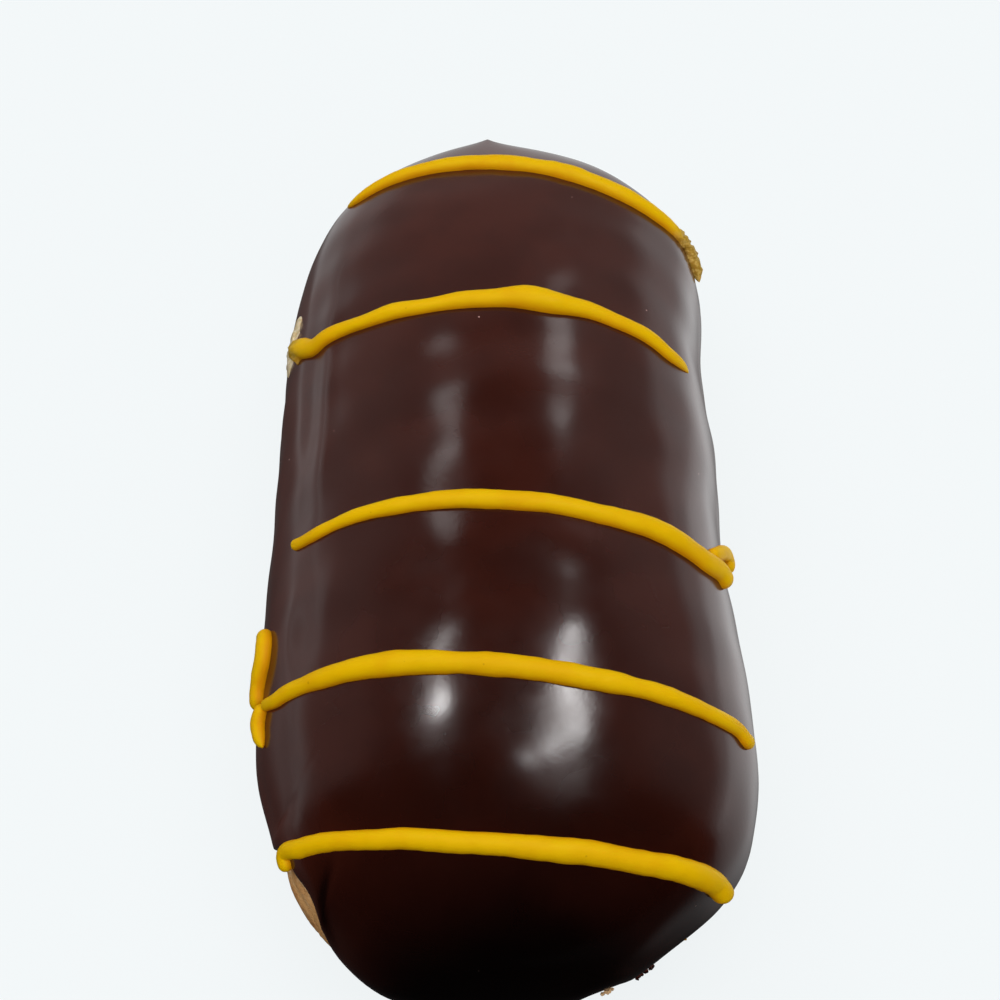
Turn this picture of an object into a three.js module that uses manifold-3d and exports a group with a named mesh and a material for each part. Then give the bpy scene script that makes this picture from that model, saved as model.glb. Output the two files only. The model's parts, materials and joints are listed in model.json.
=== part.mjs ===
/**
 * A chocolate-iced eclair, 125 mm long, lying on its flat base.
 *
 * Millimetres.  +X runs across the eclair, +Y along it and +Z up, and z = 0 is the face that it
 * rests on.  The choux pastry is one solid.  Dark chocolate icing covers its top and sides down to a
 * wavy rim below the waist, and five lines of yellow icing are piped across the top, with a loose
 * strand on one flank.  The icing and the lines that have set on it are the second solid, which stays
 * 0.3 mm clear of the pastry.
 *
 * A place on the eclair is given by "angle", in degrees round the long axis from the top towards +X, and by
 * "along", in millimetres from the middle towards the far end, +Y.
 */

import * as THREE from 'three';
import { mergeVertices } from 'three/addons/utils/BufferGeometryUtils.js';
import Module from 'manifold-3d';

// ------------------------------------------------------------------ the form, over the icing
const HALF_LENGTH = 62.5;
const HALF_WIDTH = 28.6;
const WAIST = 19; // height of the widest level
const CROWN = 21.9; // from the waist up to the top
const BELLY = 30; // from the waist down, before the base is cut flat
const END_POWER = 2.12; // 2 rounds the ends as an ellipse, more makes them blunter
const SECTION_POWER = 2.01;
const TAPER = -0.054; // share by which the width changes from the middle to the far end
const SHOULDER = 0.547; // share by which the width swells towards both ends
const CROWN_LIFT = 0.1; // the same for the height
const DRIFT = [-0.11, -1.21, 1.18, 1.21]; // sideways wander of the long axis, by powers of the station

// The middle of the finished box, from the long axis: the origin is moved to it.
const BOX_MIDDLE = { across: 0.35, along: -0.1 };

// Broad swells (+) and dents (-) that a hand-piped eclair has, each fading over its spread.
const SWELLS = [
  { angle: 88, along: -6.5, rise: -1.0, spread: 8 },
  { angle: 80, along: 40, rise: 0.45, spread: 6 },
  { angle: 60, along: 56, rise: -0.6, spread: 6 },
  { angle: -8, along: 58.5, rise: 0.45, spread: 5 },
  { angle: -88, along: 33, rise: -0.35, spread: 10 },
  { angle: 88, along: -40, rise: 0.5, spread: 8 },
  { angle: 96, along: -56.5, rise: -1.2, spread: 5 },
  { angle: -115, along: -60.3, rise: 1.2, spread: 4.5 },
  { angle: -88, along: -44, rise: -0.8, spread: 4 },
  { angle: -84, along: -49, rise: 1.3, spread: 3 },
  { angle: -88, along: -53.5, rise: 1.5, spread: 3.5 },
];

// ------------------------------------------------------------------ icing
const ICING = 1.6;
const CLEARANCE = 0.3; // between the icing and the pastry
const CRUST_DEPTH = ICING + CLEARANCE;
const LIP_LENGTH = 1.9; // over which the rim rounds off
const LIP_SWELL = 0.22; // share by which the icing gathers above its rim
const LIP_SWELL_AT = 3.2;
const LIP_SWELL_SPREAD = 1.6;

const RIM_HEIGHT = 15.2;
const RIM_WAVES = [
  { count: 2, height: 0.7, phase: 0.4 },
  { count: 5, height: 0.6, phase: 2.1 },
  { count: 9, height: 0.45, phase: 4.0 },
];
// Where the dip missed the pastry: the near left corner and a nick at the near end.
const BARE_SPOTS = [
  { turn: 235.5, reach: 8.2, height: 8.3 },
  { turn: 283.5, reach: 4, height: 1.6 },
];

// ------------------------------------------------------------------ crust
// Uneven rise of the baked flank: waves of a height in mm, with their turn in radians for each mm.
const CRUST_WAVES = [
  { height: 0.15, along: 0.2, across: -0.21, up: 0.65, phase: 0.3 },
  { height: 0.15, along: 0.2, across: 0.21, up: -0.04, phase: 2.9 },
  { height: 0.18, along: 0.34, across: -0.27, up: 0, phase: 0.8 },
];
// Long splits in the flank, each at a height on one side, between two places along it.
const SPLITS = [
  { height: 9.5, from: -38, to: 12, side: -1, depth: 0.8 },
  { height: 8.0, from: -8, to: 44, side: 1, depth: 0.9 },
];
const SPLIT_WIDTH = 1.5;
const SPLIT_ENDS = 8; // over which a split fades out at either end
const SPLIT_WANDER = { height: 1.1, along: 0.11 };
const CRUST_FADE = 3; // below the rim, over which the relief begins

// ------------------------------------------------------------------ mesh
const COLUMNS = 72;
const CROWN_RINGS = 9; // of the pastry and the icing's inner face, which share their grid
const ICING_RINGS = 19;
const FLANK_RINGS = 11;
const LIP_STEPS = [0.25, 0.8, 1.8, 3.4]; // distances up from the rim at which the icing has rings
const FLOOR_GAP = 0.05; // least height of the flank's rings over the base
const RIM_TILTS = [0.6, 2.6]; // radians from the top, between which the rim is looked for
const HALVINGS = 40; // of the stretch in which a height is looked for
const SLOPE_STEP = 0.01; // radians, over which the length of a column is measured
const BEAD_SIDES = 8;
const BEAD_STEP = 2.1;
const TIP_RINGS = [0.06, 0.25, 0.6]; // shares of a bead's tip at which it has rings
const ROUTE_SAMPLES = 24; // of a bead's route, for each of its places
const CROSSING_PLACES = 9; // of a line between its tails
const SETTLING_ROUNDS = 6; // in which a place settles on its line's curve

const degrees = THREE.MathUtils.degToRad;
const smoothstep = THREE.MathUtils.smoothstep;

/** Unit direction from the form's centre, tilted from +Z and turned from +X. */
function polar(tilt, turn) {
  const ring = Math.sin(tilt);
  return new THREE.Vector3(ring * Math.cos(turn), ring * Math.sin(turn), Math.cos(tilt));
}

/** Direction of the place at an angle round the long axis and a distance along it. */
function directionAt(angle, along) {
  const station = THREE.MathUtils.clamp(along / HALF_LENGTH, -0.999, 0.999);
  const sine = Math.sin(degrees(angle));
  const cosine = Math.cos(degrees(angle));
  const belt = (1 - Math.abs(station) ** END_POWER) ** (1 / END_POWER);
  const section = Math.abs(sine) ** SECTION_POWER + Math.abs(cosine) ** SECTION_POWER;
  const radius = belt / section ** (1 / SECTION_POWER);
  return new THREE.Vector3(radius * sine, station, radius * cosine).normalize();
}

/** Point of the smooth outer form in a direction. */
function formPoint(direction) {
  const section = Math.abs(direction.x) ** SECTION_POWER + Math.abs(direction.z) ** SECTION_POWER;
  const end = Math.abs(direction.y) ** END_POWER;
  const reach = (section ** (END_POWER / SECTION_POWER) + end) ** (-1 / END_POWER);
  const across = direction.x * reach;
  const station = direction.y * reach;
  const height = direction.z * reach;
  const width = HALF_WIDTH * (1 + TAPER * station + SHOULDER * station ** 2);
  const wander = DRIFT.reduce((sum, share, power) => sum + share * station ** power, 0);
  const rise = height > 0 ? CROWN * (1 + CROWN_LIFT * station ** 2) : BELLY;
  return new THREE.Vector3(across * width + wander, station * HALF_LENGTH, WAIST + height * rise);
}

/** Outward normal of the smooth outer form in a direction. */
function formNormal(direction) {
  const nudge = 1e-3;
  const helper = Math.abs(direction.y) < 0.9 ? new THREE.Vector3(0, 1, 0) : new THREE.Vector3(1, 0, 0);
  const first = new THREE.Vector3().crossVectors(direction, helper).normalize();
  const second = new THREE.Vector3().crossVectors(direction, first);
  const slope = (tangent) => {
    const ahead = formPoint(direction.clone().addScaledVector(tangent, nudge).normalize());
    const behind = formPoint(direction.clone().addScaledVector(tangent, -nudge).normalize());
    return ahead.sub(behind);
  };
  const normal = slope(first).cross(slope(second)).normalize();
  return normal.dot(direction) < 0 ? normal.negate() : normal;
}

const swellCentres = SWELLS.map((swell) => formPoint(directionAt(swell.angle, swell.along)));

/** Rise of the uneven form over the smooth one at a point. */
function swellAt(point) {
  return SWELLS.reduce((sum, swell, index) => {
    const distance = point.distanceTo(swellCentres[index]);
    return sum + swell.rise * Math.exp(-0.5 * (distance / swell.spread) ** 2);
  }, 0);
}

/** Point of the uneven form, moved out by an offset. */
function skin(direction, offset) {
  const point = formPoint(direction);
  return point.addScaledVector(formNormal(direction), swellAt(point) + offset);
}

/** Height of the icing's rim, by the turn round the eclair. */
function rimHeight(turn) {
  const waves = RIM_WAVES.reduce((sum, wave) => {
    return sum + wave.height * Math.sin(wave.count * turn + wave.phase);
  }, 0);
  const bare = BARE_SPOTS.reduce((sum, spot) => {
    const away = (THREE.MathUtils.radToDeg(turn) - spot.turn) / spot.reach;
    return sum + spot.height * Math.exp(-(away ** 4));
  }, 0);
  return RIM_HEIGHT + waves + bare;
}

/** Tilt between two others at which the bare pastry form reaches a height. */
function tiltAtHeight(turn, height, upper, lower) {
  let above = upper;
  let below = lower;
  for (let halving = 0; halving < HALVINGS; halving += 1) {
    const middle = (above + below) / 2;
    if (skin(polar(middle, turn), -CRUST_DEPTH).z > height) {
      above = middle;
    } else {
      below = middle;
    }
  }
  return (above + below) / 2;
}

/** Relief of the baked flank: an uneven rise and a long split on either side. */
function crustRelief(point) {
  const waves = CRUST_WAVES.reduce((sum, wave) => {
    const turned = wave.along * point.y + wave.across * point.x + wave.up * point.z;
    return sum + wave.height * Math.sin(turned + wave.phase);
  }, 0);
  const splits = SPLITS.reduce((sum, split) => {
    if (Math.sign(point.x) !== split.side) {
      return sum;
    }
    const begun = smoothstep(point.y, split.from, split.from + SPLIT_ENDS);
    const left = smoothstep(split.to - point.y, 0, SPLIT_ENDS);
    const level = split.height + SPLIT_WANDER.height * Math.sin(SPLIT_WANDER.along * point.y);
    const away = (point.z - level) / SPLIT_WIDTH;
    return sum + split.depth * begun * left * Math.exp(-(away ** 2));
  }, 0);
  return waves - splits;
}

/** Closed surface through rings of points, from pole to pole, with each quad cut along its short way. */
function closedSurface(firstPole, rings, lastPole) {
  const sides = rings[0].length;
  const points = [firstPole, ...rings.flat(), lastPole];
  const last = points.length - 1;
  const at = (ring, side) => 1 + ring * sides + (side % sides);
  const faces = [];
  for (let side = 0; side < sides; side += 1) {
    faces.push(0, at(0, side), at(0, side + 1));
    for (let ring = 0; ring + 1 < rings.length; ring += 1) {
      const [a, b] = [at(ring, side), at(ring, side + 1)];
      const [c, d] = [at(ring + 1, side + 1), at(ring + 1, side)];
      if (points[a].distanceTo(points[c]) < points[b].distanceTo(points[d])) {
        faces.push(a, d, c, a, c, b);
      } else {
        faces.push(a, d, b, b, d, c);
      }
    }
    faces.push(last, at(rings.length - 1, side + 1), at(rings.length - 1, side));
  }
  const geometry = new THREE.BufferGeometry().setFromPoints(points);
  geometry.setIndex(faces);
  return geometry;
}

const turns = Array.from({ length: COLUMNS }, (_, column) => (2 * Math.PI * column) / COLUMNS);
const rimTilts = turns.map((turn) => tiltAtHeight(turn, rimHeight(turn), ...RIM_TILTS));
const baseTilts = turns.map((turn, column) => tiltAtHeight(turn, 0, rimTilts[column], Math.PI));

/** Mean tilt of the rim, to which the rings near the top keep. */
const crownTilt = rimTilts.reduce((sum, tilt) => sum + tilt, 0) / COLUMNS;

/** Tilt at a share of the way from the top to a rim, which the rings nearest to it follow most. */
function tiltAtShare(share, rimTilt) {
  return share * crownTilt + share ** 3 * (rimTilt - crownTilt);
}

/** Ring of the pastry's form at a share of the way from the top to the icing's rim. */
function crownRing(share, offset) {
  return turns.map((turn, column) => skin(polar(tiltAtShare(share, rimTilts[column]), turn), offset));
}

/** The choux pastry: crown under the icing, bare flank with its relief, and flat base. */
function pastryGeometry() {
  const rings = [];
  for (let ring = 1; ring <= CROWN_RINGS; ring += 1) {
    rings.push(crownRing(ring / CROWN_RINGS, -CRUST_DEPTH));
  }
  for (let ring = 1; ring <= FLANK_RINGS; ring += 1) {
    const share = ring / FLANK_RINGS;
    rings.push(
      turns.map((turn, column) => {
        const direction = polar(THREE.MathUtils.lerp(rimTilts[column], baseTilts[column], share), turn);
        const point = skin(direction, -CRUST_DEPTH);
        const below = rimHeight(turn) - point.z;
        const fade = smoothstep(below, 0, CRUST_FADE) * smoothstep(point.z, 0, CRUST_FADE);
        point.addScaledVector(formNormal(direction), fade * crustRelief(point));
        point.z = ring === FLANK_RINGS ? 0 : Math.max(point.z, FLOOR_GAP);
        return point;
      }),
    );
  }
  const top = skin(polar(0, 0), -CRUST_DEPTH);
  return closedSurface(top, rings, new THREE.Vector3(0, 0, 0));
}

/** Thickness of the icing at a distance up from its rim. */
function icingThickness(fromRim) {
  const round = fromRim < LIP_LENGTH ? Math.sqrt(1 - (1 - fromRim / LIP_LENGTH) ** 2) : 1;
  const gather = LIP_SWELL * Math.exp(-0.5 * ((fromRim - LIP_SWELL_AT) / LIP_SWELL_SPREAD) ** 2);
  return ICING * round * (1 + gather);
}

/** The icing's shell: outer face, rounded rim and inner face. */
function icingGeometry() {
  const inner = CLEARANCE - CRUST_DEPTH;
  const rimSlopes = turns.map((turn, column) => {
    const rim = skin(polar(rimTilts[column], turn), inner);
    const above = skin(polar(rimTilts[column] - SLOPE_STEP, turn), inner);
    return rim.distanceTo(above) / SLOPE_STEP;
  });
  const lipTop = LIP_STEPS[LIP_STEPS.length - 1];
  const outerPoint = (column, tilt) => {
    const fromRim = (rimTilts[column] - tilt) * rimSlopes[column];
    return skin(polar(tilt, turns[column]), inner + icingThickness(fromRim));
  };
  const rings = [];
  for (let ring = 1; ring <= ICING_RINGS; ring += 1) {
    rings.push(
      turns.map((turn, column) => {
        const lipTilt = rimTilts[column] - lipTop / rimSlopes[column];
        return outerPoint(column, tiltAtShare(ring / ICING_RINGS, lipTilt));
      }),
    );
  }
  for (const step of LIP_STEPS.slice(0, -1).reverse()) {
    rings.push(
      turns.map((turn, column) => outerPoint(column, rimTilts[column] - step / rimSlopes[column])),
    );
  }
  for (let ring = CROWN_RINGS; ring >= 1; ring -= 1) {
    rings.push(crownRing(ring / CROWN_RINGS, inner));
  }
  return closedSurface(skin(polar(0, 0), 0), rings, skin(polar(0, 0), inner));
}

// ------------------------------------------------------------------ piped lines
// Each line crosses the top at "crest" and follows along = crest + slant x + bow x^2 + twist x^3, where
// x is the distance across.  It runs between two angles, with tails of hand-placed [angle, along, lift]
// beyond them.  "widths" are spaced evenly from its left end to its right, and "tips" are the lengths
// over which it tapers.
const BEAD_FLATNESS = 0.8; // height of a line's section as a share of its width
const BEAD_LIFT = 0.3; // height of a line's centre over the icing
const LINES = [
  {
    name: 'far',
    crest: 49.1, slant: -0.113, bow: -0.007, twist: 0.00009, from: -58, to: 66,
    leftTail: [[-65, 48.4, 0.3]],
    rightTail: [[73, 42.8, 0.4], [78, 40.6, 0.4], [80, 39.2, 0.4]],
    widths: [1.9, 2.4, 2.4, 2.5, 2.3], tips: [4, 1.2],
  },
  {
    name: 'second',
    crest: 20.4, slant: 0, bow: -0.0032, twist: -0.00019, from: -56, to: 50,
    leftTail: [[-66, 21.4, 0.3]],
    rightTail: [[55, 17.2, 0.3], [60, 16.5, 0.2]],
    widths: [1.9, 2.3, 2.4, 3.0, 2.1], tips: [1.2, 4],
  },
  {
    name: 'middle',
    crest: -10.3, slant: -0.045, bow: -0.0015, twist: 0.00001, from: -54, to: 58,
    leftTail: [[-58, -10.2, 0.3]],
    rightTail: [[65, -12.1, 0.5], [71, -12.8, 0.6]],
    widths: [1.5, 2.1, 2.4, 2.5, 2.9], tips: [1.0, 1.2],
  },
  {
    name: 'fourth',
    crest: -31.3, slant: -0.095, bow: -0.0004, twist: 0.00003, from: -66, to: 72,
    leftTail: [[-76, -28.7, 0.5], [-82, -28.4, 0.6], [-85.5, -29.8, 0.6], [-86, -31.6, 0.5]],
    rightTail: [[79, -33.0, 0.3], [86, -32.2, 0.2]],
    widths: [1.7, 2.5, 2.6, 2.4, 1.8], tips: [1.0, 5],
  },
  {
    name: 'near',
    crest: -50.6, slant: -0.081, bow: 0.0021, twist: 0.00002, from: -58, to: 74,
    leftTail: [[-64, -47.3, 0.4], [-68.5, -47.2, 0.5], [-71, -48, 0.6], [-71.5, -49.3, 0.6]],
    rightTail: [[82, -50.6, 0.6], [90, -50.2, 0.9], [95, -50.7, 1.0]],
    widths: [1.9, 2.3, 2.5, 2.9, 3.1], tips: [1.2, 4.5],
  },
];

// Short pieces beside the lines, placed by hand as [angle, along, lift]: a loose strand, a smear where a
// line broke off, a curl at the end of another and the peak that the dipping left at the far end.
const PIECES = [
  {
    name: 'strand',
    places: [[-81, -16.4, 0.4], [-83, -20.2, 0.5], [-85, -24.7, 0.6], [-85.5, -28.6, 0.6]],
    widths: [1.4, 1.6, 1.5], tips: [0.8, 0.8],
  },
  {
    name: 'smear',
    places: [[-64, 27.2, 0.1], [-66, 23.8, 0.15], [-68, 21.0, 0.15], [-70.5, 19.0, 0]],
    widths: [1.6, 1.9, 1.3], tips: [1.2, 2.0],
  },
  {
    name: 'curl',
    places: [
      [66, -11, 0.5], [65, -8.8, 0.7], [73, -7.3, 0.9],
      [80, -8, 1.1], [78, -10, 0.9], [72, -11.2, 0.7],
    ],
    widths: [1.3, 1.5, 1.4], tips: [0.6, 0.6],
  },
  {
    name: 'peak',
    places: [[-8, 57.4, -0.2], [-8, 58.4, 0.1], [-8, 59, 0.5]],
    widths: [2.2, 1.6, 0.9], tips: [0.8, 0.8],
  },
];

/** Places of a line: its left tail, its crossing and its right tail. */
function linePlaces(line) {
  const crossing = Array.from({ length: CROSSING_PLACES }, (_, index) => {
    const angle = THREE.MathUtils.lerp(line.from, line.to, index / (CROSSING_PLACES - 1));
    let along = line.crest;
    for (let round = 0; round < SETTLING_ROUNDS; round += 1) {
      const x = formPoint(directionAt(angle, along)).x;
      along = line.crest + line.slant * x + line.bow * x ** 2 + line.twist * x ** 3;
    }
    return [angle, along, BEAD_LIFT];
  });
  return [...line.leftTail.slice().reverse(), ...crossing, ...line.rightTail];
}

/** Width at a share of the way along a bead, eased between its listed widths. */
function widthAt(widths, share) {
  const place = THREE.MathUtils.clamp(share, 0, 1) * (widths.length - 1);
  const index = Math.min(Math.floor(place), widths.length - 2);
  return THREE.MathUtils.lerp(widths[index], widths[index + 1], smoothstep(place - index, 0, 1));
}

/** A piped bead with rounded or tapering ends, laid through its places. */
function beadGeometry({ places, widths, tips }) {
  const route = new THREE.CatmullRomCurve3(places.map((place) => new THREE.Vector3(...place)));
  const samples = route.getPoints(places.length * ROUTE_SAMPLES).map((place) => {
    const direction = directionAt(place.x, place.y);
    return { centre: skin(direction, place.z), normal: formNormal(direction), passed: 0 };
  });
  for (let index = 1; index < samples.length; index += 1) {
    const previous = samples[index - 1];
    samples[index].passed = previous.passed + previous.centre.distanceTo(samples[index].centre);
  }
  const length = samples[samples.length - 1].passed;
  const sampleAt = (distance) => {
    const next = Math.max(1, samples.findIndex((sample) => sample.passed >= distance - 1e-9));
    const a = samples[next - 1];
    const b = samples[next];
    const share = THREE.MathUtils.clamp((distance - a.passed) / (b.passed - a.passed), 0, 1);
    return {
      centre: a.centre.clone().lerp(b.centre, share),
      normal: a.normal.clone().lerp(b.normal, share).normalize(),
      tangent: b.centre.clone().sub(a.centre).normalize(),
    };
  };
  const body = length - tips[0] - tips[1];
  const steps = Math.max(2, Math.round(body / BEAD_STEP));
  const stops = [
    ...TIP_RINGS.map((share) => share * tips[0]),
    ...Array.from({ length: steps + 1 }, (_, step) => tips[0] + (body * step) / steps),
    ...TIP_RINGS.slice().reverse().map((share) => length - share * tips[1]),
  ];
  const taper = (distance, tip) => (distance < tip ? Math.sqrt(1 - (1 - distance / tip) ** 2) : 1);
  const rings = stops.map((distance) => {
    const { centre, normal, tangent } = sampleAt(distance);
    const side = new THREE.Vector3().crossVectors(tangent, normal).normalize();
    const up = new THREE.Vector3().crossVectors(side, tangent);
    const taperings = taper(distance, tips[0]) * taper(length - distance, tips[1]);
    const half = 0.5 * widthAt(widths, distance / length) * taperings;
    return Array.from({ length: BEAD_SIDES }, (_, corner) => {
      const around = (2 * Math.PI * corner) / BEAD_SIDES;
      return centre
        .clone()
        .addScaledVector(side, half * Math.cos(around))
        .addScaledVector(up, BEAD_FLATNESS * half * Math.sin(around));
    });
  });
  return closedSurface(sampleAt(0).centre, rings, sampleAt(length).centre);
}

// ------------------------------------------------------------------ joining the lines to the icing
const wasm = await Module();
wasm.setup();

/** Volume inside a closed geometry, negative when its faces point in. */
function signedVolume(geometry) {
  const corners = geometry.getAttribute('position');
  const faces = geometry.getIndex();
  const [a, b, c] = [new THREE.Vector3(), new THREE.Vector3(), new THREE.Vector3()];
  let volume = 0;
  for (let face = 0; face < faces.count; face += 3) {
    a.fromBufferAttribute(corners, faces.getX(face));
    b.fromBufferAttribute(corners, faces.getX(face + 1));
    c.fromBufferAttribute(corners, faces.getX(face + 2));
    volume += a.dot(b.cross(c)) / 6;
  }
  return volume;
}

/** Solid inside a closed geometry, with its faces turned out. */
function toSolid(geometry) {
  const merged = mergeVertices(geometry);
  const triVerts = new Uint32Array(merged.getIndex().array);
  if (signedVolume(merged) < 0) {
    triVerts.reverse();
  }
  const vertProperties = new Float32Array(merged.getAttribute('position').array);
  return new wasm.Manifold(new wasm.Mesh({ numProp: 3, vertProperties, triVerts }));
}

/** Geometry of a solid's surface. */
function toGeometry(solid) {
  const { vertProperties, triVerts } = solid.getMesh();
  const geometry = new THREE.BufferGeometry();
  geometry.setAttribute('position', new THREE.BufferAttribute(new Float32Array(vertProperties), 3));
  geometry.setIndex(new THREE.BufferAttribute(new Uint32Array(triVerts), 1));
  geometry.computeVertexNormals();
  return geometry;
}

/** The icing with its piped lines, strand, smear and curl fused on. */
function icedGeometry() {
  const beads = [...LINES.map((line) => ({ ...line, places: linePlaces(line) })), ...PIECES];
  const solid = beads.reduce((sum, bead) => sum.add(toSolid(beadGeometry(bead))), toSolid(icingGeometry()));
  return toGeometry(solid);
}

// ------------------------------------------------------------------ the eclair
const crustMaterial = new THREE.MeshStandardMaterial({ color: 0xbf9a66, roughness: 0.85, metalness: 0 });
const chocolateMaterial = new THREE.MeshStandardMaterial({ color: 0x2b130e, roughness: 0.3, metalness: 0 });

const pastry = new THREE.Mesh(pastryGeometry(), crustMaterial);
pastry.name = 'choux_pastry';

const icing = new THREE.Mesh(icedGeometry(), chocolateMaterial);
icing.name = 'chocolate_icing';

const eclair = new THREE.Group();
eclair.add(pastry, icing);
eclair.position.set(-BOX_MIDDLE.across, -BOX_MIDDLE.along, 0);

export default eclair;
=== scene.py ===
"""The looks of a chocolate-iced eclair: baked choux crust, dipped dark icing and yellow lines."""

import json
import math

import bmesh
import bpy
import numpy as np
from bpy.props import FloatProperty, FloatVectorProperty, IntProperty, PointerProperty
from bpy.types import Operator, Panel, PropertyGroup
from mathutils import Matrix, Vector, noise

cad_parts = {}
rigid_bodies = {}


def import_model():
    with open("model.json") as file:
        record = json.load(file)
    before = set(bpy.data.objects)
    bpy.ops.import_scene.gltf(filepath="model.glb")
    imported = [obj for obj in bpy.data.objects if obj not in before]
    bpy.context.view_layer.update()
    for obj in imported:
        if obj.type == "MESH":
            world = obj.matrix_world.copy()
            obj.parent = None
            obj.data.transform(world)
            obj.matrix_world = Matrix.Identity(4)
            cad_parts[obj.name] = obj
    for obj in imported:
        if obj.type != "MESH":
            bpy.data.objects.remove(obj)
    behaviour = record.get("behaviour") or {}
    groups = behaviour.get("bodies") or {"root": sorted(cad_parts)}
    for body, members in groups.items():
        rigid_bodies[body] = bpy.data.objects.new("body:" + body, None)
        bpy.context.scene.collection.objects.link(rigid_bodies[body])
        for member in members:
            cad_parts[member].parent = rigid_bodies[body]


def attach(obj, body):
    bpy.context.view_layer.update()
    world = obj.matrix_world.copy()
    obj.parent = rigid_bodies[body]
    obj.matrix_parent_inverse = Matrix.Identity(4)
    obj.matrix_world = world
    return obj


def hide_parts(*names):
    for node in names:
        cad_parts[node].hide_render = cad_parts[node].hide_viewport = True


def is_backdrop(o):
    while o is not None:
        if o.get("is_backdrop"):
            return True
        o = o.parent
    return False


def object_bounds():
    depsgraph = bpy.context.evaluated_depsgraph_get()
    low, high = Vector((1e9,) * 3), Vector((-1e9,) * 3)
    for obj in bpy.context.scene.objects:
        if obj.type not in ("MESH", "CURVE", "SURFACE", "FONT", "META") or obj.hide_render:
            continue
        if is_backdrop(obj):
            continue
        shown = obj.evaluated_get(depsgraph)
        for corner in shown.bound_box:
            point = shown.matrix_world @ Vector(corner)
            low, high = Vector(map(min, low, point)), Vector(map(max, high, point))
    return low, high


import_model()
CAD_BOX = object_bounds()

bl_info = {
    "name": "Chocolate Eclair",
    "version": (1, 0, 0),
    "blender": (4, 5, 0),
    "location": "3D View > Sidebar > Eclair",
    "description": "Builds the crust, icing and piped lines of a chocolate eclair round its packed solids",
    "category": "Add Mesh",
}

MM = 0.001  # the form below is worked out in millimetres

# ------------------------ the form, over the icing, in mm
# A station is a share of the half length, from -1 at the near end to 1 at the far end.
HALF_LENGTH = 62.5
HALF_WIDTH = 28.6
WAIST = 19.0  # height of the widest level
CROWN = 21.9  # from the waist up to the top
BELLY = 30.0  # from the waist down, before the base is cut flat
END_POWER = 2.12  # how square the ends are from above: 2 is an ellipse
SECTION_POWER = 2.01  # how square a section is
TAPER = -0.054  # change of the width by the station
SHOULDER = 0.547  # and by its square
CROWN_LIFT = 0.1  # by which the crown is higher at the ends
DRIFT = (-0.11, -1.21, 1.18, 1.21)  # sideways wander of the long axis, by powers of the station
BOX_MIDDLE = np.array([0.35, -0.1, 0.0])  # the row frame's origin, from the long axis

# A place is given by "angle", in degrees round the long axis from the top towards +X, and by "along", in
# mm from the middle towards the far end.  Broad swells and dents: angle, along, rise and spread.
SWELLS = (
    (88, -6.5, -1.0, 8),
    (80, 40, 0.45, 6),
    (60, 56, -0.6, 6),
    (-12, 58.5, 0.3, 4),
    (14, 58.5, -0.35, 5),
    (84, 24, -1.25, 8),
    (-88, 33, -0.35, 10),
    (88, -40, 0.5, 8),
    (96, -56.5, -1.6, 5.5),
    (-115, -60.3, 1.2, 4.5),
    (-88, -44, -0.8, 4),
    (-84, -49, 0.8, 3),
    (-88, -54, -0.75, 4.5),
)

# ------------------------ icing, in mm
RIM_HEIGHT = 15.2
RIM_WAVES = ((2, 0.7, 0.4), (5, 0.6, 2.1), (9, 0.45, 4.0))  # count round the rim, height, phase
RIM_RIPPLES = ((23, 0.1, 1.0), (37, 0.07, 0.2))
BARE_SPOTS = ((233.1, 7.9, 6.5), (283.5, 4, 1.6))  # turn, reach and height of what the dip missed
RIM_TILTS = (0.6, 2.6)  # from the top, in radians, between which the rim is looked for
LIP_SWELL = 0.22  # share by which the icing gathers over its rim
LIP_SWELL_AT = 3.2
LIP_SWELL_SPREAD = 1.6
EMBED = 0.6  # by which the icing's hidden inner face lies inside the crust
WAVES_BEGIN = 3.0  # over the rim, over which the waves begin
GLAZE_WAVES = (18, 7.0, 16.0)  # count, shortest and longest

# Small ripples, ridges and dimples in the icing: angle, along, rise, spread round and spread along.
RIPPLES = (
    (-49, 14, 0.20, 2.5, 14),
    (-56, 10, -0.12, 2.5, 12),
    (-63, 18, 0.13, 3, 12),
    (-52, -22, -0.28, 5, 3.5),
    (-60, -19, 0.16, 4, 4),
    (-35, -12, 0.06, 5, 5),
    (-15, -37.6, 0.22, 10, 2.8),
    (62, 12, 0.10, 5, 14),
    (50, 18, -0.08, 5, 10),
)
PEAK = (-9.5, 58.6)  # angle and along of the pointed peak at the far end
PEAK_HEIGHT = 0.85
PEAK_SPREAD = 1.9

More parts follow.
